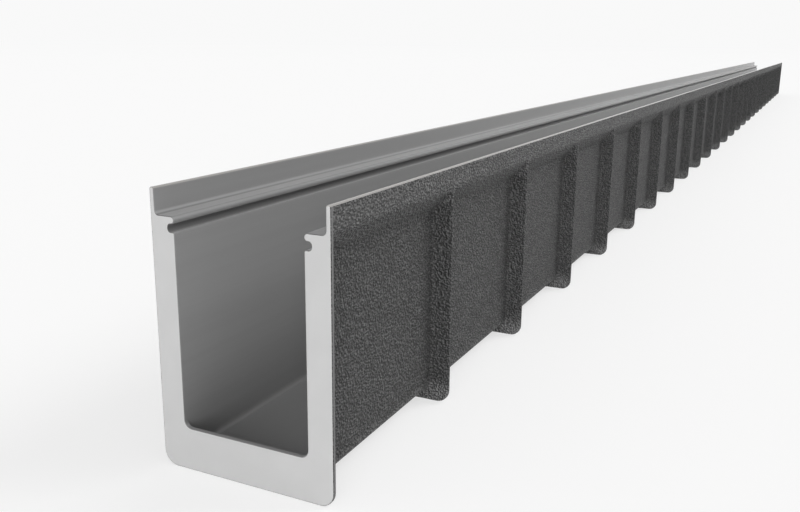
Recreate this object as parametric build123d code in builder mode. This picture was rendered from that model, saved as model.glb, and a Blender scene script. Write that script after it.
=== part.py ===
from build123d import *
import os
from math import hypot

# A linear rain drainage channel, moulded in one piece: a thin trough between two end flanges,
# stiffened outside by thin ribs, and edged along the top by two rails that carry a grate.
# X runs across the channel, Y along it and Z up. The deep end has the lowest Y. From there
# the floor and the feet of the ribs rise gently, while the rails stay level.

# Overall sizes
channel_length = 4000
channel_width = 120
deep_end_height = 172
floor_fall = 28

# Trough, with its underside held clear of the ground by the feet of the ribs
wall_thickness = 2.5
clear_width = 87
foot_depth = 8.5
trough_corner_radius = 4

# Ribs and end flanges, with the length divided into equal bays as near as can be to the wanted one
wanted_bay = 160
rib_thickness = 2.5
rib_corner_radius = 9
sill_height = 27
sill_corner_radius = 5

# Rails, from the upstand lip down over the grate seat and its nose to the locking groove. A flat
# is what is left of a face between the roundings at its two edges.
lip_thickness = 3
lip_height = 16
lip_top_flat = 0.6
seat_corner_radius = 2.5
nose_thickness = 4.4
nose_flat = 0.2
groove_height = 4.8
groove_back_flat = 0.8
groove_roof_flat = 0.4
groove_edge_radius = 1

# Outside of the rails: an upright band, and a shoulder that slopes in to the trough wall a little
# below the grooves, softly rounded where it leaves the band and where it meets the wall
band_height = 15
shoulder_drop = 5.8
shoulder_radius = 8
rail_overlap = 30

# Levels and half widths that follow from the sizes above
half_width = channel_width / 2
half_clear = clear_width / 2
trough_width = clear_width + 2 * wall_thickness
lip_inner = half_width - lip_thickness
lip_top_radius = (lip_thickness - lip_top_flat) / 2
nose_radius = (nose_thickness - nose_flat) / 2
groove_radius = (groove_height - groove_back_flat) / 2
groove_inner = half_clear + nose_radius + groove_roof_flat + groove_radius
seat_level = deep_end_height - lip_height
nose_underside = seat_level - nose_thickness
groove_floor = nose_underside - groove_height
band_bottom = deep_end_height - band_height
shoulder_bottom = groove_floor - shoulder_drop
rail_bottom = shoulder_bottom - rail_overlap
trough_top = rail_bottom + wall_thickness
above_lips = deep_end_height + lip_thickness
rib_top = deep_end_height - lip_thickness

# Places along the channel
deep_end = -channel_length / 2
shallow_end = channel_length / 2
bay_count = round(channel_length / wanted_bay)
bay_pitch = channel_length / bay_count


def foot_level(y):
    """Height of the sloping line of the feet, at the place y along the channel."""
    return floor_fall * (y - deep_end) / channel_length


def section_plane(y, height=0):
    """Upright plane across the channel at the place y, with its origin at the given height."""
    return Plane(origin=(0, y, height), x_dir=(1, 0, 0), z_dir=(0, -1, 0))


def round_bottomed_section(width, bottom, top, corner_radius):
    """Section from bottom to top, centred on the channel, with its lower corners rounded."""
    with Locations((0, bottom)):
        Rectangle(width, top - bottom, align=(Align.CENTER, Align.MIN))
    fillet(vertices().group_by(Axis.Y)[0], corner_radius)


def extrude_beside_feet(length, mode=Mode.ADD):
    """Carry the section along the channel, parallel to the sloping line of the feet."""
    rise = floor_fall * length / channel_length
    extrude(amount=hypot(length, rise), dir=(0, length, rise), mode=mode)


with BuildPart() as channel_body:
    # Trough, solid for now
    with BuildSketch(section_plane(deep_end)):
        round_bottomed_section(
            trough_width, foot_depth, trough_top, trough_corner_radius + wall_thickness
        )
    extrude_beside_feet(channel_length)

    # Rails, as one level block with the band and the shoulder on each side
    with BuildSketch(section_plane(deep_end)):
        with BuildLine():
            Polyline(
                (0, deep_end_height),
                (half_width, deep_end_height),
                (half_width, band_bottom),
                (trough_width / 2, shoulder_bottom),
                (trough_width / 2, rail_bottom),
                (0, rail_bottom),
            )
            mirror(about=Plane.YZ)
        make_face()
        shoulder_corners = vertices().filter_by_position(Axis.Y, shoulder_bottom, band_bottom)
        fillet(shoulder_corners, shoulder_radius)
    extrude(amount=-channel_length)

    # End flanges, and a rib at every bay between them, each cut level at its foot
    rib_places = [deep_end + bay * bay_pitch for bay in range(bay_count)]
    rib_places.append(shallow_end - rib_thickness)
    for place in rib_places:
        with BuildSketch(section_plane(place)):
            round_bottomed_section(channel_width, foot_level(place), rib_top, rib_corner_radius)
        extrude(amount=-rib_thickness)

    # Space between the rails, which leaves the lips, the grate seats, their noses and the grooves
    with BuildSketch(section_plane(deep_end)):
        with BuildLine():
            Line((0, rail_bottom), (half_clear, rail_bottom))
            FilletPolyline(
                (half_clear, rail_bottom),
                (half_clear, groove_floor),
                (groove_inner, groove_floor),
                (groove_inner, nose_underside),
                (half_clear, nose_underside),
                (half_clear, seat_level),
                (lip_inner, seat_level),
                (lip_inner, above_lips),
                radius=[
                    groove_edge_radius,
                    groove_radius,
                    groove_radius,
                    nose_radius,
                    nose_radius,
                    seat_corner_radius,
                ],
            )
            Line((lip_inner, above_lips), (0, above_lips))
            mirror(about=Plane.YZ)
        make_face()
    extrude(amount=-channel_length, mode=Mode.SUBTRACT)

    # Inside of the trough, from one end flange to the other
    trough_start = deep_end + rib_thickness
    with BuildSketch(section_plane(trough_start, foot_level(trough_start))):
        round_bottomed_section(
            clear_width, foot_depth + wall_thickness, trough_top, trough_corner_radius
        )
    extrude_beside_feet(channel_length - 2 * rib_thickness, mode=Mode.SUBTRACT)

    # Openings in the end flanges, above their raised sills
    with BuildSketch(section_plane(deep_end)):
        round_bottomed_section(clear_width, sill_height, trough_top, sill_corner_radius)
    extrude_beside_feet(channel_length, mode=Mode.SUBTRACT)

    # Rounded tops of the lips
    lip_edges = channel_body.edges().filter_by(Axis.Y).group_by(Axis.Z)[-1]
    fillet(lip_edges, lip_top_radius)

channel_body.part.label = "channel_body"

os.makedirs("parts", exist_ok=True)
export_step(channel_body.part, "parts/channel_body.step")
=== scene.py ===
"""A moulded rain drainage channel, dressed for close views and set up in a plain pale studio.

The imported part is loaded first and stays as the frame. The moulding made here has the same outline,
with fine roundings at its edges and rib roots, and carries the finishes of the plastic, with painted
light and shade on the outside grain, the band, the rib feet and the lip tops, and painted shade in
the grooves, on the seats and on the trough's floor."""

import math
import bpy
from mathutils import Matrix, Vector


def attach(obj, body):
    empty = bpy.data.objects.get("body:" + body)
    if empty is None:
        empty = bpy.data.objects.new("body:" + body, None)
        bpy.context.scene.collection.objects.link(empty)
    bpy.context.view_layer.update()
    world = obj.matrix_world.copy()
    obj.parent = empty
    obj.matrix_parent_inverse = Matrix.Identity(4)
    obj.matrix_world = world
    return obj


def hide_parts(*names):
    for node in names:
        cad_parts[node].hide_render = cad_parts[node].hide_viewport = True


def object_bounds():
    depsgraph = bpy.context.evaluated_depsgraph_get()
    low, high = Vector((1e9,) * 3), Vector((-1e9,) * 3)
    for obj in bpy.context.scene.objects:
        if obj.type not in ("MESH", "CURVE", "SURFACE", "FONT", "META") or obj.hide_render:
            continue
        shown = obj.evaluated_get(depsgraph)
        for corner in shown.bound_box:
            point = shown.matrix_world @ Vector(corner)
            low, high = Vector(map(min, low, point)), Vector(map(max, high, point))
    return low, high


bl_info = {
    "name": "Rain drainage channel",
    "version": (1, 0, 0),
    "blender": (4, 5, 0),
    "location": "3D View > Sidebar > Channel",
    "description": "Makes a ribbed plastic drainage channel, its finishes and its studio",
    "category": "Add Mesh",
}

import bpy
import numpy as np
from bpy.props import FloatProperty, FloatVectorProperty, IntProperty, PointerProperty
from mathutils import Matrix

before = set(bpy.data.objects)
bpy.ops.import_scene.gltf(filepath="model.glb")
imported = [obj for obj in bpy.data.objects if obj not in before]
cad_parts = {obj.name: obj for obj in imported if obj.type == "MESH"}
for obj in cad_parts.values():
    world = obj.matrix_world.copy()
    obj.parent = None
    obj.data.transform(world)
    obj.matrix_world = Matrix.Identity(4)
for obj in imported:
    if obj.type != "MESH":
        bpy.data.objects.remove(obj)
cad_low, cad_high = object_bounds()

CAD_NODE = "channel_body"

# Finishes of the moulding, in the order of its materials
FINISHES = ("outside", "inside", "rim", "end_face")

# Turns below this many radians are straight, points that agree to this many decimals of a metre
# are welded, and edges sharper than this angle stay sharp
STRAIGHT = 1e-6
WELD_DECIMALS = 7
SHARP_ANGLE = math.radians(32)

# Grain outside, in multiples of its size: how far on the height is read to tell a flank for painted
# light and shade, how far a slow noise bends the grains, and how wide and long the swells are
FLANK_SHADE_REACH = 0.35
BEND_REACH = (0.9, 0.9, 0.9)
SWELL_WIDTH = 2.5
SWELL_LENGTH = 9

# Bends for each grain's length, how softly grains merge, how far from a grain's middle its top
# ends and its crease starts, and the swells' share in height and in the colour's tone
BEND_SCALE = 0.7
GRAIN_MERGE = 0.25
GRAIN_TOP = 0.1
GRAIN_CREASE = 0.75
SWELL_HEIGHT = 0.4
SWELL_TONE = 0.5

# Where painted light starts and where it is palest: over the feet, in multiples of the foot depth,
# and under the lips' tops, in metres
FOOT_LIGHT_START = 2.2
FOOT_LIGHT_FULL = 0.7
LIP_LIGHT_START = 0.0015
LIP_LIGHT_FULL = 0.0004

# Share of the height below which painted shade darkens the trough
FLOOR_SHADE_REACH = 0.4

# Sizes of the other patterns across and along the channel, in metres
FLOW_MARKS = (0.004, 0.35)
INSIDE_SKIN = (0.0009, 0.0012)
FLANGE_MOTTLE = (0.02, 0.02)
FLANGE_SKIN = (0.0006, 0.0006)

# How strong they are: their tones, their part in the roughness, and bumps by strength and depth
FLOW_TONES = (0.97, 1.03)
FLOW_ROUGHNESS = 0.04
MOTTLE_TONES = (0.975, 1.015)
INSIDE_SKIN_BUMP = (0.35, 0.00008)
FLANGE_SKIN_BUMP = (0.25, 0.00005)
SHEEN_ROUGHNESS = 0.4

# Nearly all of a noise lies between these values
NOISE_LOW = 0.3
NOISE_HIGH = 0.7


def length_property(name, description, default):
    """A size in metres."""
    return FloatProperty(name=name, description=description, default=default, min=0, unit="LENGTH")


def share_property(name, description, default):
    """A share from 0 to 1."""
    return FloatProperty(
        name=name, description=description, default=default, min=0, max=1, subtype="FACTOR"
    )


def angle_property(name, description, degrees):
    """An angle, given in degrees and kept in radians."""
    return FloatProperty(
        name=name, description=description, default=math.radians(degrees), subtype="ANGLE"
    )


def grey_property(name, description, grey, warmth=0.0):
    """A linear colour close to grey. Warmth raises its red and lowers its blue by that share."""
    return FloatVectorProperty(
        name=name,
        description=description,
        default=(grey * (1 + warmth), grey, grey * (1 - warmth)),
        min=0,
        max=1,
        subtype="COLOR",
    )


class ChannelSizes(bpy.types.PropertyGroup):
    """Sizes of the moulding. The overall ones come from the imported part."""

    length: length_property("Length", "Length of the channel", cad_high.y - cad_low.y)
    width: length_property("Width", "Width over the rails and ribs", cad_high.x - cad_low.x)
    height: length_property("Height", "Height at the deep end", cad_high.z - cad_low.z)
    fall: length_property("Fall", "Rise of the feet from the deep end to the other", 0.028)
    bays: IntProperty(name="Bays", description="Number of bays between ribs", default=25, min=1)
    wall: length_property("Wall", "Wall of the trough", 0.0025)
    clear_width: length_property("Clear width", "Width inside the trough", 0.087)
    foot_depth: length_property("Foot depth", "Height of the trough above the feet", 0.0085)
    trough_radius: length_property("Trough radius", "Inner radius of the trough's corners", 0.004)
    rib_thickness: length_property("Rib", "Thickness of a rib or an end flange", 0.0025)
    rib_radius: length_property("Rib radius", "Radius of a rib's lower corners", 0.009)
    sill_height: length_property("Sill height", "Height of the sills above the feet", 0.027)
    sill_radius: length_property("Sill radius", "Radius of the end openings' corners", 0.005)
    lip_thickness: length_property("Lip", "Thickness of the upstand lips", 0.003)
    lip_height: length_property("Lip height", "Height of a lip over the grate seat", 0.016)
    lip_radius: length_property("Lip radius", "Radius along the top of a lip", 0.0012)
    seat_radius: length_property("Seat radius", "Radius between lip and grate seat", 0.0025)
    nose_thickness: length_property("Nose", "Thickness of the nose of a seat", 0.0044)
    nose_radius: length_property("Nose radius", "Radius of the nose's edges", 0.0021)
    groove_height: length_property("Groove height", "Height of a locking groove", 0.0048)
    groove_depth: length_property("Groove depth", "Depth of a locking groove", 0.0045)
    groove_radius: length_property("Groove radius", "Radius at the back of a groove", 0.002)
    groove_edge: length_property("Groove edge", "Radius at a groove's lower edge", 0.001)
    band_height: length_property("Band", "Height of the upright band outside a rail", 0.015)
    shoulder_height: length_property("Shoulder", "Height of the slope below the band", 0.016)
    shoulder_radius: length_property("Shoulder radius", "Radius above and below the slope", 0.008)
    root_radius: length_property("Root radius", "Radius where ribs meet the trough", 0.003)
    edge_radius: length_property("Edge radius", "Radius along the edges of ribs", 0.0004)
    edge_fade: length_property("Edge fade", "Length over which a rib's radius fades out", 0.003)


class ChannelFinish(bpy.types.PropertyGroup):
    """Colours and grain of the plastic."""

    # Painted shade and painted light on the two flanks of the grains outside
    outside_dark_painted_shade: grey_property("Lower flanks", "Outside, painted shade on the lower flanks of the grains", 0.056)
    outside_pale_painted_light: grey_property("Upper flanks", "Outside, painted light on the upper flanks of the grains", 0.22)
    inside: grey_property("Inside", "Smooth plastic inside and on the rails", 0.24)
    # Painted light on the tops of the lips
    lip_top_painted_light: grey_property("Lip tops", "Painted light along the tops of the lips", 0.275, 0.04)
    rim: grey_property("Flange rims", "Smooth outer edges of the two end flanges", 0.14)
    end_face: grey_property("End faces", "Flat faces of the two end flanges", 0.52)
    grain_size: length_property("Grain size", "Distance between two grains", 0.0015)
    grain_stretch: FloatProperty(
        name="Grain stretch", description="Length of a grain over its width", default=1.25, min=1
    )
    grain_depth: length_property("Grain depth", "Height of the grains", 0.0026)
    outside_roughness: share_property("Outside roughness", "Roughness of the grain", 0.65)
    outside_specular: share_property("Outside specular", "Gloss that the grain leaves", 0.2)
    inside_roughness: share_property("Inside roughness", "Roughness of the inside", 0.42)
    inside_specular: share_property("Inside specular", "Gloss of the inside", 0.35)
    inside_sheen: share_property("Inside sheen", "Bloom of the inside, seen at a slant", 0.44)
    end_roughness: share_property("End roughness", "Roughness of the end faces", 0.5)
    # Painted light on the band at the top and on the feet of the ribs
    band_painted_light: share_property("Band light", "How much paler the outside is painted at the top, as painted light", 0.26)
    foot_painted_light: share_property("Foot light", "How much paler the feet of the ribs are painted, as painted light", 1.0)
    # Painted shade in the grooves, on the seats and on the trough's floor
    groove_painted_shade: share_property("Groove shade", "How much darker the locking grooves are", 0.16)
    seat_painted_shade: share_property("Seat shade", "How much darker seats and grooves are", 0.5)
    seat_roughness: share_property("Seat roughness", "How much rougher the seats and grooves are", 0.35)
    floor_painted_shade: share_property("Floor shade", "How much darker the trough's floor is", 0.25)


class ChannelStudio(bpy.types.PropertyGroup):
    """Floor, light and camera."""

    backdrop: grey_property("Backdrop", "Colour behind the channel", 0.945)
    floor: grey_property("Floor", "Colour of the floor as it is seen", 0.99)
    shadow_share: share_property("Shadow share", "How much of the shadows the floor shows", 0.35)
    floor_bounce: grey_property("Floor bounce", "Colour of the light that the floor sends up", 0.88)
    floor_size: length_property("Floor size", "Side of the floor", 120.0)
    fade_start: length_property("Fade start", "Where the floor starts to fade", 5.0)
    fade_end: length_property("Fade end", "Where the floor meets the backdrop", 20.0)
    sky_strength: share_property("Sky strength", "Strength of the light from all round", 0.5)
    key_strength: FloatProperty(
        name="Key strength", description="Strength of the key light", default=1.25, min=0
    )
    key_softness: angle_property("Key softness", "Width of the key light in the sky", 30)
    key_height: angle_property("Key height", "Height of the key light over the floor", 40)
    key_turn: angle_property("Key turn", "Turn of the key light from the channel's side", 40)
    fill_strength: FloatProperty(
        name="Fill strength", description="Strength of the light from the front", default=2.0, min=0
    )
    fill_softness: angle_property("Fill softness", "Width of the front light in the sky", 40)
    fill_height: angle_property("Fill height", "Height of the front light over the floor", 12)
    fill_turn: angle_property("Fill turn", "Turn of the front light from the channel's side", -72)
    camera_place: FloatVectorProperty(
        name="Camera place",
        description="Where the camera stands",
        default=(0.2817, -2.3689, 0.2538),
        subtype="TRANSLATION",
        unit="LENGTH",
    )
    camera_turn: angle_property("Camera turn", "Turn of the camera to the left", 26.284)
    camera_drop: angle_property("Camera drop", "How far the camera looks down", 14.109)
    camera_roll: angle_property("Camera roll", "Roll of the camera", 0.53)
    lens: FloatProperty(name="Lens", description="Focal length in mm", default=38.6, min=1)


def quarter_turn(steps):
    """Angles from 0 to a right angle in equal steps."""
    return np.linspace(0, math.pi / 2, steps + 1)


def rounded_path(corners, radii, steps):
    """Lines from corner to corner with each corner between the ends rounded by an arc.

    corners has the shape (stations, corners, 2), radii (stations, corners). The arc's centre lies on
    the line that halves the corner, at the radius over the sine of half its angle, and the arc turns
    evenly from the normal of one line to the normal of the next. A straight corner stays a point."""
    path = [corners[:, :1]]
    for k, count in enumerate(steps, start=1):
        corner = corners[:, k]
        before = corners[:, k - 1] - corner
        after = corners[:, k + 1] - corner
        before /= np.linalg.norm(before, axis=1, keepdims=True)
        after /= np.linalg.norm(after, axis=1, keepdims=True)
        half = np.arccos(np.clip((before * after).sum(1), -1, 1)) / 2
        reach = (radii[:, k] / np.tan(half))[:, None]
        start = corner + before * reach
        end = corner + after * reach
        turn = math.pi - 2 * half
        flat = turn < STRAIGHT
        safe_turn = np.where(flat, 1, turn)
        middle = before + after
        middle /= np.maximum(np.linalg.norm(middle, axis=1, keepdims=True), STRAIGHT)
        centre = corner + middle * (radii[:, k] / np.sin(half))[:, None]
        share = np.linspace(0, 1, count + 1)
        first = np.sin((1 - share)[None] * safe_turn[:, None]) / np.sin(safe_turn)[:, None]
        last = np.sin(share[None] * safe_turn[:, None]) / np.sin(safe_turn)[:, None]
        arc = (
            centre[:, None]
            + first[..., None] * (start - centre)[:, None]
            + last[..., None] * (end - centre)[:, None]
        )
        arc = np.where(flat[:, None, None], corner[:, None], arc)
        path.append(arc)
    path.append(corners[:, -1:])
    return np.concatenate(path, axis=1)


# Corners of the right half of the section, from the middle of the underside out over the rail and
# in to the middle of the floor. Each row says how the corner moves, across and up, as the plastic
# shrinks by one, how its radius grows with that, and how many steps its arc has.
CORNERS = {
    "underside": (0, 1, 0, 0),
    "foot": (-1, 1, -1, 8),
    "shoulder_foot": (-1, 0, 0, 4),
    "shoulder_top": (-1, 0, 0, 4),
    "lip_outside": (-1, -1, -1, 4),
    "lip_inside": (1, -1, -1, 4),
    "seat_corner": (1, -1, 1, 4),
    "nose_top": (1, -1, -1, 6),
    "nose_bottom": (1, 1, -1, 6),
    "groove_roof": (1, 1, 1, 4),
    "groove_floor": (1, -1, 1, 4),
    "groove_edge": (1, -1, -1, 2),
    "sill_level": (1, 0, 0, 0),
    "trough_corner": (1, -1, 1, 5),
    "floor": (0, -1, 0, 0),
}
SHRINK = np.array([row[:2] for row in CORNERS.values()], float)
GROWTH = np.array([row[2] for row in CORNERS.values()], float)
ARC_STEPS = [row[3] for row in CORNERS.values()][1:-1]
EDGE_STEPS = 3
ROOT_STEPS = 4

# A rib's edge insets the corners from the underside to the shoulder's foot. The outside ends one
# step into the rounding of the lip's top.
RIB_EDGE_CORNERS = 3
OUTSIDE_POINTS = 2 + sum(steps + 1 for steps in ARC_STEPS[:3])


def rib_stations(sizes, start, rib_foot, deep_flange, shallow_flange):
    """Stations of one rib or end flange: rows of place, rib, sill, swell, inset, shrink, foot.

    Towards a bay, the trough's outside swells by the root radius times one less the cosine of a
    quarter turn, and the rib's edge starts inset by its radius times one less the sine. Towards an
    open end, the whole section starts shrunk by the edge radius in the same way."""
    edge_turn, root_turn = quarter_turn(EDGE_STEPS), quarter_turn(ROOT_STEPS)
    flange = deep_flange or shallow_flange
    edge_depth = sizes.edge_radius * (1 - np.cos(edge_turn))
    edge_inset = sizes.edge_radius * (1 - np.sin(edge_turn))
    root_depth = -sizes.root_radius * (1 - np.sin(root_turn))
    root_swell = sizes.root_radius * (1 - np.cos(root_turn))

    def rows(depth, rib, sill, swell=0, inset=0, shrink=0):
        columns = np.broadcast_arrays(depth, rib, sill, swell, inset, shrink, rib_foot)
        return np.stack(columns, axis=1)

    bay_side = np.concatenate([
        rows(root_depth, 0, 0, swell=root_swell),
        rows(edge_depth, 1, flange, inset=edge_inset),
    ])
    open_side = rows(edge_depth, 1, flange, shrink=edge_inset)
    front = (open_side if deep_flange else bay_side).copy()
    back = (open_side if shallow_flange else bay_side)[::-1].copy()
    front[:, 0] = start + front[:, 0]
    back[:, 0] = start + sizes.rib_thickness - back[:, 0]
    return np.concatenate([front, back])


def all_stations(sizes):
    """Stations of all the ribs and both end flanges, from the deep end to the shallow end."""
    deep_end = -sizes.length / 2
    pitch = sizes.length / sizes.bays
    starts = deep_end + pitch * np.arange(sizes.bays + 1)
    starts[-1] -= sizes.rib_thickness
    feet = sizes.fall * (starts - deep_end) / sizes.length
    stations = [
        rib_stations(sizes, start, foot, k == 0, k == sizes.bays)
        for k, (start, foot) in enumerate(zip(starts, feet))
    ]
    return np.concatenate(stations)


def half_sections(sizes, stations):
    """The right half of the section at each station, as points across and up.

    Beside a rib the trough's outside is offset by its swell, which lowers the shoulder's top by the
    swell times the root of one plus the square of the shoulder's slope."""
    y, rib, at_sill, swell, inset, shrink, rib_foot = stations.T
    foot_line = sizes.fall * (y + sizes.length / 2) / sizes.length
    on_rib, on_sill = rib > 0, at_sill > 0
    half, clear = sizes.width / 2, sizes.clear_width / 2
    trough = clear + sizes.wall
    slope = sizes.shoulder_height / (half - trough)
    shoulder_radius = np.where(on_rib, 0, sizes.shoulder_radius)
    seat = sizes.height - sizes.lip_height
    groove_roof = seat - sizes.nose_thickness
    groove_floor = groove_roof - sizes.groove_height
    groove_back = clear + sizes.groove_depth

    outside = np.where(on_rib, half, trough + swell)
    underside = np.where(on_rib, rib_foot, foot_line + sizes.foot_depth - swell)
    foot_radius = np.where(on_rib, sizes.rib_radius, sizes.trough_radius + sizes.wall + swell)
    arc_reach = sizes.shoulder_radius * math.tan(math.atan(1 / slope) / 2)
    lowering = np.where(on_rib, sizes.root_radius, swell) * math.hypot(1, slope)
    shoulder_top = sizes.height - sizes.band_height - lowering + np.where(on_rib, arc_reach, 0)
    drop = np.where(on_rib, sizes.edge_fade, slope * (half - outside))
    sill = foot_line + sizes.sill_height
    floor = np.where(on_sill, sill, foot_line + sizes.foot_depth + sizes.wall)
    floor_radius = np.where(on_sill, sizes.sill_radius, sizes.trough_radius)

    corners = (
        (0, underside, 0),
        (outside, underside, foot_radius),
        (outside, shoulder_top - drop, shoulder_radius),
        (half, shoulder_top, shoulder_radius),
        (half, sizes.height, sizes.lip_radius),
        (half - sizes.lip_thickness, sizes.height, sizes.lip_radius),
        (half - sizes.lip_thickness, seat, sizes.seat_radius),
        (clear, seat, sizes.nose_radius),
        (clear, groove_roof, sizes.nose_radius),
        (groove_back, groove_roof, sizes.groove_radius),
        (groove_back, groove_floor, sizes.groove_radius),
        (clear, groove_floor, sizes.groove_edge),
        (clear, sill + sizes.sill_radius, 0),
        (clear, floor, floor_radius),
        (0, floor, 0),
    )
    table = np.stack([np.stack(np.broadcast_arrays(*row, y)[:3], axis=1) for row in corners], axis=1)
    amount = np.repeat(shrink[:, None], len(corners), axis=1)
    amount[:, :RIB_EDGE_CORNERS] += inset[:, None]
    points = table[:, :, :2] + amount[:, :, None] * SHRINK
    radii = table[:, :, 2] + amount * GROWTH
    return rounded_path(points, radii, ARC_STEPS)


def section_rings(sizes, stations):
    """Points round the whole section at each station. The left half mirrors the right one."""
    half = half_sections(sizes, stations)
    mirrored = half[:, -2:0:-1] * (-1, 1)
    ring = np.concatenate([half, mirrored], axis=1)
    along = np.broadcast_to(stations[:, :1], ring.shape[:2])
    return np.stack([ring[..., 0], along, ring[..., 1]], axis=2)


def cell_finishes(stations, around):
    """Finish of each cell between two stations and two of the places round the section.

    The outside reaches from the middle of the underside up both sides. Where both stations are of
    an end flange's full thickness, without a rounded edge, it is the flange's rim."""
    place = np.arange(around)
    place = np.minimum(place, around - place)
    outside = np.maximum(place, np.roll(place, -1)) <= OUTSIDE_POINTS
    _, _, at_sill, _, inset, shrink, _ = stations.T
    plain_flange = (at_sill > 0) & (inset + shrink == 0)
    rim = plain_flange[:-1] & plain_flange[1:]
    outer = np.where(rim, FINISHES.index("rim"), FINISHES.index("outside"))
    return np.where(outside[None, :], outer[:, None], FINISHES.index("inside"))


def moulding_faces(sizes):
    """Points, faces and finishes of the moulding.

    A point is a function of the station along the channel and of the place round the section.
    Points that fall together, as inside where only the outside steps out to a rib, are welded. A
    cell with four corners left is a face, one with three is a triangle, and others are dropped."""
    stations = all_stations(sizes)
    grid = section_rings(sizes, stations)
    count, around = grid.shape[:2]
    rounded = np.round(grid.reshape(-1, 3), WELD_DECIMALS)
    points, joined = np.unique(rounded, axis=0, return_inverse=True)
    index = joined.reshape(count, around)
    onward = np.roll(index, -1, axis=1)
    cells = np.stack([index[:-1], index[1:], onward[1:], onward[:-1]], axis=2).reshape(-1, 4)
    finish = cell_finishes(stations, around).reshape(-1)

    # A corner is spare where welding has joined it to the next one
    spare = cells == np.roll(cells, -1, axis=1)
    whole = spare.sum(1) == 0
    faces, finishes = cells[whole].tolist(), [finish[whole]]
    for side in range(4):
        three = (spare.sum(1) == 1) & spare[:, side]
        faces += np.delete(cells[three], side, axis=1).tolist()
        finishes.append(finish[three])

    # The two end faces, each a single flat one
    for end in (index[0], index[-1, ::-1]):
        faces.append(end[end != np.roll(end, 1)].tolist())
    finishes.append([FINISHES.index("end_face")] * 2)
    return points, faces, np.concatenate(finishes)


def add_node(tree, kind, inputs=None, **settings):
    """Add a node. Inputs are given by name or number, as a value or as a socket to link."""
    node = tree.nodes.new(kind)
    for name, value in settings.items():
        setattr(node, name, value)
    for name, value in (inputs or {}).items():
        if isinstance(value, bpy.types.NodeSocket):
            tree.links.new(value, node.inputs[name])
        else:
            node.inputs[name].default_value = value
    return node


def new_material(name):
    """An empty material with its node tree."""
    material = bpy.data.materials.new(name)
    material.use_nodes = True
    material.node_tree.nodes.clear()
    return material, material.node_tree


def finish_material(tree, shader):
    """Link a shader's output to the surface."""
    add_node(tree, "ShaderNodeOutputMaterial", {"Surface": shader})


def object_pattern(tree, across, along):
    """Object coordinates divided by the size of a pattern across and along the channel."""
    place = add_node(tree, "ShaderNodeTexCoord").outputs["Object"]
    scale = (1 / across, 1 / along, 1 / across)
    return add_node(tree, "ShaderNodeMapping", {"Vector": place, "Scale": scale}).outputs[0]


def rescale(tree, value, low, high, new_low=0.0, new_high=1.0, smooth=False):
    """A value moved from one range to another, and kept inside it."""
    kind = "SMOOTHSTEP" if smooth else "LINEAR"
    inputs = {"Value": value, 1: low, 2: high, 3: new_low, 4: new_high}
    return add_node(tree, "ShaderNodeMapRange", inputs, interpolation_type=kind).outputs[0]


def mix_colour(tree, share, first, second, blend="MIX"):
    """Two colours mixed by a share."""
    inputs = {0: share, 6: opaque(first), 7: opaque(second)}
    settings = {"data_type": "RGBA", "blend_type": blend}
    return add_node(tree, "ShaderNodeMix", inputs, **settings).outputs[2]


def opaque(colour):
    """A colour with its alpha, or a socket as it is."""
    return colour if isinstance(colour, bpy.types.NodeSocket) else (*colour, 1)


def sum_of(tree, first, second, weight=1.0):
    """The first value plus the second one times its weight."""
    return add_node(
        tree, "ShaderNodeMath", {0: second, 1: weight, 2: first}, operation="MULTIPLY_ADD"
    ).outputs[0]


def noise(tree, sizes, detail):
    """Noise with a pattern of the given sizes across and along the channel."""
    place = object_pattern(tree, *sizes)
    inputs = {"Vector": place, "Scale": 1.0, "Detail": detail}
    return add_node(tree, "ShaderNodeTexNoise", inputs).outputs["Fac"]


def bump_of(tree, height, strength, depth):
    """Normals bent by a height from 0 to 1 that stands for a depth in metres."""
    inputs = {"Height": height, "Strength": strength, "Distance": depth}
    return add_node(tree, "ShaderNodeBump", inputs).outputs[0]


def product_of(tree, first, second):
    """Two values multiplied."""
    return add_node(tree, "ShaderNodeMath", {0: first, 1: second}, operation="MULTIPLY").outputs[0]


def shaded(tree, colour, *tones):
    """A colour multiplied by some values, one after the other."""
    for tone in tones:
        grey = add_node(tree, "ShaderNodeCombineColor", {0: tone, 1: tone, 2: tone}).outputs[0]
        colour = mix_colour(tree, 1.0, colour, grey, blend="MULTIPLY")
    return colour


def channel_place(tree, sizes):
    """Distance from the middle plane, level, and height over the sloping line of the feet."""
    place = add_node(tree, "ShaderNodeTexCoord").outputs["Object"]
    split = add_node(tree, "ShaderNodeSeparateXYZ", {0: place}).outputs
    across = add_node(tree, "ShaderNodeMath", {0: split["X"]}, operation="ABSOLUTE").outputs[0]
    from_line = sum_of(tree, split["Z"], split["Y"], -sizes.fall / sizes.length)
    return across, split["Z"], sum_of(tree, from_line, -sizes.fall / 2)


def pebble_height(tree, place):
    """Height of rounded grains with creases between them, bent by a slow noise."""
    bend = add_node(tree, "ShaderNodeTexNoise", {"Vector": place, "Scale": BEND_SCALE, "Detail": 2})
    bent = add_node(
        tree, "ShaderNodeVectorMath", {0: bend.outputs["Color"], 1: BEND_REACH, 2: place},
        operation="MULTIPLY_ADD",
    ).outputs[0]
    cells = add_node(
        tree, "ShaderNodeTexVoronoi", {"Vector": bent, "Scale": 1.0, "Smoothness": GRAIN_MERGE},
        feature="SMOOTH_F1",
    ).outputs["Distance"]
    return rescale(tree, cells, GRAIN_CREASE, GRAIN_TOP)


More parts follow.
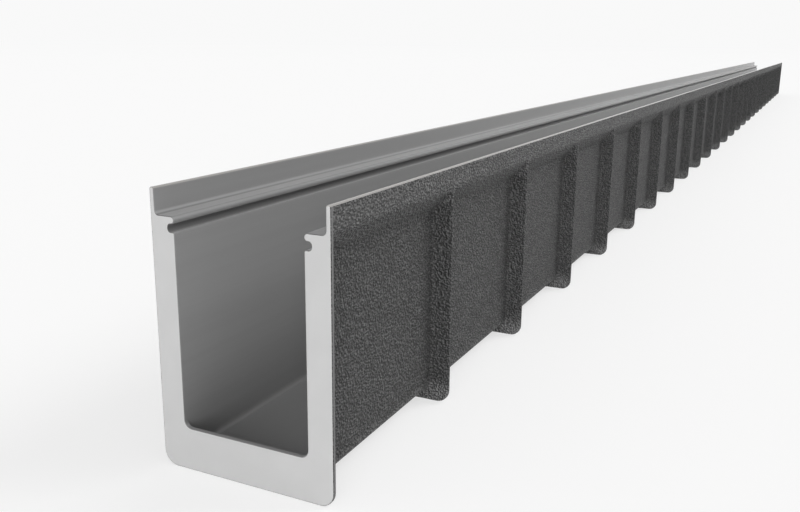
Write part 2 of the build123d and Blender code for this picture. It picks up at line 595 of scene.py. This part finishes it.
def outside_plastic(finish, sizes):
    """Dark plastic with a pebbled grain that helps concrete to grip it.

    Painted light lies on the upper flank of each grain, which is where the height falls off a little
    way on along the channel, out of it and up, and painted shade on the lower flank. Larger and
    weaker swells vary the tone and still show from far off. The band at the top and the feet of
    the ribs are painted paler, as painted light."""
    material, tree = new_material("channel_outside_grain")
    size = finish.grain_size
    place = object_pattern(tree, size, size * finish.grain_stretch)
    beyond = add_node(
        tree, "ShaderNodeVectorMath", {0: place, 1: (FLANK_SHADE_REACH,) * 3}, operation="ADD"
    ).outputs[0]
    grains = pebble_height(tree, place)
    # Painted light and shade: the height here less the height a little way on makes each grain paler
    # on its upper flank
    flank = sum_of(tree, grains, pebble_height(tree, beyond), -1.0)
    swells = noise(tree, (size * SWELL_WIDTH, size * SWELL_LENGTH), 2)
    height = sum_of(tree, grains, swells, SWELL_HEIGHT)
    # The share between the two colours is painted light on the flanks plus random tone from the
    # swells
    share = rescale(tree, sum_of(tree, flank, swells, SWELL_TONE), 0, 1)
    plain = mix_colour(tree, share, finish.outside_dark_painted_shade, finish.outside_pale_painted_light)
    up, over_feet = channel_place(tree, sizes)[1:]
    shoulder_foot = sizes.height - sizes.band_height - sizes.shoulder_height
    # Painted light: the band and the upper half of the shoulder are made paler
    band_painted_light = rescale(
        tree, up, shoulder_foot, shoulder_foot + sizes.shoulder_height / 2, 1, 1 + finish.band_painted_light,
        smooth=True,
    )
    # Painted light: the feet of the ribs are made paler than the shaded rib faces above them
    foot_painted_light = rescale(
        tree,
        over_feet,
        sizes.foot_depth * FOOT_LIGHT_START,
        sizes.foot_depth * FOOT_LIGHT_FULL,
        1,
        1 + finish.foot_painted_light,
        smooth=True,
    )
    colour = shaded(tree, plain, band_painted_light, foot_painted_light)
    shader = add_node(
        tree,
        "ShaderNodeBsdfPrincipled",
        {
            "Base Color": colour,
            "Roughness": finish.outside_roughness,
            "Specular IOR Level": finish.outside_specular,
            "Normal": bump_of(tree, height, 1, finish.grain_depth),
        },
    )
    finish_material(tree, shader.outputs[0])
    return material


def inside_plastic(finish, sizes):
    """Smooth plastic with faint flow marks along the channel.

    The tops of the lips are painted paler, as painted light. The grate seats, the locking grooves and
    the floor of the trough are darker, as painted shade, and seats and grooves are also rougher."""
    material, tree = new_material("channel_inside_smooth")
    streaks = noise(tree, FLOW_MARKS, 4)
    across, up, over_feet = channel_place(tree, sizes)
    clear = sizes.clear_width / 2
    seat = sizes.height - sizes.lip_height
    groove_roof = seat - sizes.nose_thickness
    # Painted shade: masks for the grooves, the seats and the low part of the trough, which darken the
    # colour
    beside = rescale(tree, across, clear, clear + sizes.nose_radius, smooth=True)
    groove = product_of(
        tree,
        beside,
        rescale(tree, up, groove_roof + sizes.nose_radius / 2, groove_roof, smooth=True),
    )
    seats = product_of(
        tree, beside, rescale(tree, up, seat + sizes.seat_radius / 2, seat, smooth=True)
    )
    depth = rescale(tree, over_feet, sizes.height * FLOOR_SHADE_REACH, sizes.foot_depth, smooth=True)
    # Painted light: the tops of the lips are made paler and warmer
    top = rescale(
        tree, up, sizes.height - LIP_LIGHT_START, sizes.height - LIP_LIGHT_FULL, smooth=True
    )
    plain = shaded(
        tree,
        finish.inside,
        rescale(tree, streaks, NOISE_LOW, NOISE_HIGH, *FLOW_TONES),
        rescale(tree, groove, 0, 1, 1, 1 - finish.groove_painted_shade),
        rescale(tree, seats, 0, 1, 1, 1 - finish.seat_painted_shade),
        rescale(tree, depth, 0, 1, 1, 1 - finish.floor_painted_shade),
    )
    colour = mix_colour(tree, top, plain, finish.lip_top_painted_light)
    smoother = finish.inside_roughness - FLOW_ROUGHNESS
    rougher = finish.inside_roughness + FLOW_ROUGHNESS
    rough = rescale(tree, streaks, NOISE_LOW, NOISE_HIGH, smoother, rougher)
    shader = add_node(
        tree,
        "ShaderNodeBsdfPrincipled",
        {
            "Base Color": colour,
            "Roughness": sum_of(tree, rough, seats, finish.seat_roughness),
            "Specular IOR Level": finish.inside_specular,
            "Sheen Weight": finish.inside_sheen,
            "Sheen Roughness": SHEEN_ROUGHNESS,
            "Normal": bump_of(tree, noise(tree, INSIDE_SKIN, 3), *INSIDE_SKIN_BUMP),
        },
    )
    finish_material(tree, shader.outputs[0])
    return material


def flange_plastic(name, tint, finish):
    """Plain plastic of a given tint for the end flanges: a faint mottle and a fine skin."""
    material, tree = new_material(name)
    mottle = noise(tree, FLANGE_MOTTLE, 5)
    tone = rescale(tree, mottle, NOISE_LOW, NOISE_HIGH, *MOTTLE_TONES)
    shader = add_node(
        tree,
        "ShaderNodeBsdfPrincipled",
        {
            "Base Color": shaded(tree, tint, tone),
            "Roughness": finish.end_roughness,
            "Normal": bump_of(tree, noise(tree, FLANGE_SKIN, 2), *FLANGE_SKIN_BUMP),
        },
    )
    finish_material(tree, shader.outputs[0])
    return material


class ChannelMoulding(bpy.types.Operator):
    """Make the channel's moulding with its finishes"""

    bl_idname = "channel.moulding"
    bl_label = "Channel moulding"
    bl_options = {"REGISTER", "UNDO"}

    def execute(self, context):
        sizes, finish = context.scene.channel_sizes, context.scene.channel_finish
        points, faces, finishes = moulding_faces(sizes)
        mesh = bpy.data.meshes.new("channel_moulding")
        mesh.from_pydata(points, [], faces)
        for material in (
            outside_plastic(finish, sizes),
            inside_plastic(finish, sizes),
            flange_plastic("channel_flange_rim", finish.rim, finish),
            flange_plastic("channel_end_face", finish.end_face, finish),
        ):
            mesh.materials.append(material)
        mesh.polygons.foreach_set("material_index", finishes.astype(np.int32))
        mesh.polygons.foreach_set("use_smooth", np.ones(len(faces), bool))
        mesh.update()
        mesh.set_sharp_from_angle(angle=SHARP_ANGLE)
        moulding = bpy.data.objects.new("channel_moulding", mesh)
        context.scene.collection.objects.link(moulding)
        weighted = moulding.modifiers.new("flat faces stay flat", "WEIGHTED_NORMAL")
        weighted.keep_sharp = True
        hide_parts(CAD_NODE)
        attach(moulding, "root")
        return {"FINISHED"}


def floor_material(studio):
    """Pale floor that fades into the backdrop far off, and that isn't seen from below."""
    material, tree = new_material("studio_floor")
    place = add_node(tree, "ShaderNodeTexCoord").outputs["Object"]
    away = add_node(tree, "ShaderNodeVectorMath", {0: place}, operation="LENGTH").outputs["Value"]
    fade = rescale(tree, away, studio.fade_start, studio.fade_end, smooth=True)
    seen = add_node(tree, "ShaderNodeLightPath").outputs["Is Camera Ray"]
    colour = mix_colour(tree, seen, studio.floor_bounce, studio.floor)
    near = add_node(tree, "ShaderNodeBsdfDiffuse", {"Color": colour}).outputs[0]
    pale = add_node(tree, "ShaderNodeEmission", {"Color": opaque(studio.floor)}).outputs[0]
    paling = rescale(tree, seen, 0, 1, 0, 1 - studio.shadow_share)
    near = add_node(tree, "ShaderNodeMixShader", {0: paling, 1: near, 2: pale}).outputs[0]
    far = add_node(tree, "ShaderNodeEmission", {"Color": opaque(studio.backdrop)}).outputs[0]
    above = add_node(tree, "ShaderNodeMixShader", {0: fade, 1: near, 2: far}).outputs[0]
    below = add_node(tree, "ShaderNodeBsdfTransparent").outputs[0]
    underneath = add_node(tree, "ShaderNodeNewGeometry").outputs["Backfacing"]
    shader = add_node(tree, "ShaderNodeMixShader", {0: underneath, 1: above, 2: below})
    finish_material(tree, shader.outputs[0])
    return material


def studio_world(studio):
    """Even light from all round. What is seen or mirrored of it is the backdrop's colour."""
    world = bpy.data.worlds.new("studio_world")
    world.use_nodes = True
    tree = world.node_tree
    tree.nodes.clear()
    path = add_node(tree, "ShaderNodeLightPath").outputs
    seen = path["Is Camera Ray"]
    for other in ("Is Glossy Ray", "Is Transmission Ray"):
        inputs = {0: seen, 1: path[other]}
        seen = add_node(tree, "ShaderNodeMath", inputs, operation="MAXIMUM").outputs[0]
    light = add_node(
        tree, "ShaderNodeBackground", {"Color": (1, 1, 1, 1), "Strength": studio.sky_strength}
    )
    backdrop = add_node(tree, "ShaderNodeBackground", {"Color": opaque(studio.backdrop)})
    mixed = add_node(
        tree, "ShaderNodeMixShader", {0: seen, 1: light.outputs[0], 2: backdrop.outputs[0]}
    )
    add_node(tree, "ShaderNodeOutputWorld", {"Surface": mixed.outputs[0]})
    return world


def studio_floor(studio, sizes):
    """A square floor that rises with the line of the feet, so that every rib stands on it."""
    across = np.array([-1, 1, 1, -1]) * studio.floor_size / 2
    along = np.array([-1, -1, 1, 1]) * studio.floor_size / 2
    up = sizes.fall * (along / sizes.length + 0.5)
    mesh = bpy.data.meshes.new("studio_floor")
    mesh.from_pydata(np.stack([across, along, up], axis=1), [], [(0, 1, 2, 3)])
    mesh.materials.append(floor_material(studio))
    return bpy.data.objects.new("studio_floor", mesh)


def studio_light(name, strength, softness, height, turn):
    """A light in the sky, at a height over the floor and a turn from the channel's side."""
    light = bpy.data.lights.new(name, "SUN")
    light.energy = strength
    light.angle = softness
    lamp = bpy.data.objects.new(name, light)
    lamp.matrix_world = Matrix.Rotation(turn, 4, "Z") @ Matrix.Rotation(math.pi / 2 - height, 4, "Y")
    return lamp


def studio_camera(studio):
    """The camera, turned to the left, then down, then rolled."""
    lens = bpy.data.cameras.new("studio_camera")
    lens.lens = studio.lens
    camera = bpy.data.objects.new("studio_camera", lens)
    camera.matrix_world = (
        Matrix.Translation(studio.camera_place)
        @ Matrix.Rotation(studio.camera_turn, 4, "Z")
        @ Matrix.Rotation(math.pi / 2 - studio.camera_drop, 4, "X")
        @ Matrix.Rotation(studio.camera_roll, 4, "Z")
    )
    return camera


class ChannelStage(bpy.types.Operator):
    """Set up the floor, the light and the camera"""

    bl_idname = "channel.stage"
    bl_label = "Studio"
    bl_options = {"REGISTER", "UNDO"}

    def execute(self, context):
        scene = context.scene
        studio = scene.channel_studio
        floor = studio_floor(studio, scene.channel_sizes)
        camera = studio_camera(studio)
        key = studio_light(
            "key_light",
            studio.key_strength,
            studio.key_softness,
            studio.key_height,
            studio.key_turn,
        )
        fill = studio_light(
            "fill_light",
            studio.fill_strength,
            studio.fill_softness,
            studio.fill_height,
            studio.fill_turn,
        )
        for item in (floor, key, fill, camera):
            scene.collection.objects.link(item)
        scene.world = studio_world(studio)
        scene.camera = camera
        scene.view_settings.view_transform = "Standard"
        return {"FINISHED"}


class ChannelPanel(bpy.types.Panel):
    """Lists the pieces, the studio and their settings"""

    bl_idname = "VIEW3D_PT_channel"
    bl_label = "Drainage channel"
    bl_space_type = "VIEW_3D"
    bl_region_type = "UI"
    bl_category = "Channel"

    def draw(self, context):
        scene = context.scene
        self.layout.operator(ChannelMoulding.bl_idname)
        self.layout.operator(ChannelStage.bl_idname)
        for group in (scene.channel_sizes, scene.channel_finish, scene.channel_studio):
            box = self.layout.box()
            for name in group.__annotations__:
                box.prop(group, name)


CLASSES = (
    ChannelSizes,
    ChannelFinish,
    ChannelStudio,
    ChannelMoulding,
    ChannelStage,
    ChannelPanel,
)


def register():
    """Register the classes and hang their settings on the scene."""
    for item in CLASSES:
        bpy.utils.register_class(item)
    bpy.types.Scene.channel_sizes = PointerProperty(type=ChannelSizes)
    bpy.types.Scene.channel_finish = PointerProperty(type=ChannelFinish)
    bpy.types.Scene.channel_studio = PointerProperty(type=ChannelStudio)


def unregister():
    """Take the settings and the classes away again."""
    del bpy.types.Scene.channel_studio
    del bpy.types.Scene.channel_finish
    del bpy.types.Scene.channel_sizes
    for item in reversed(CLASSES):
        bpy.utils.unregister_class(item)


def main():
    """Make the channel and its studio."""
    register()
    bpy.ops.channel.moulding()
    bpy.ops.channel.stage()


if __name__ == "__main__":
    main()
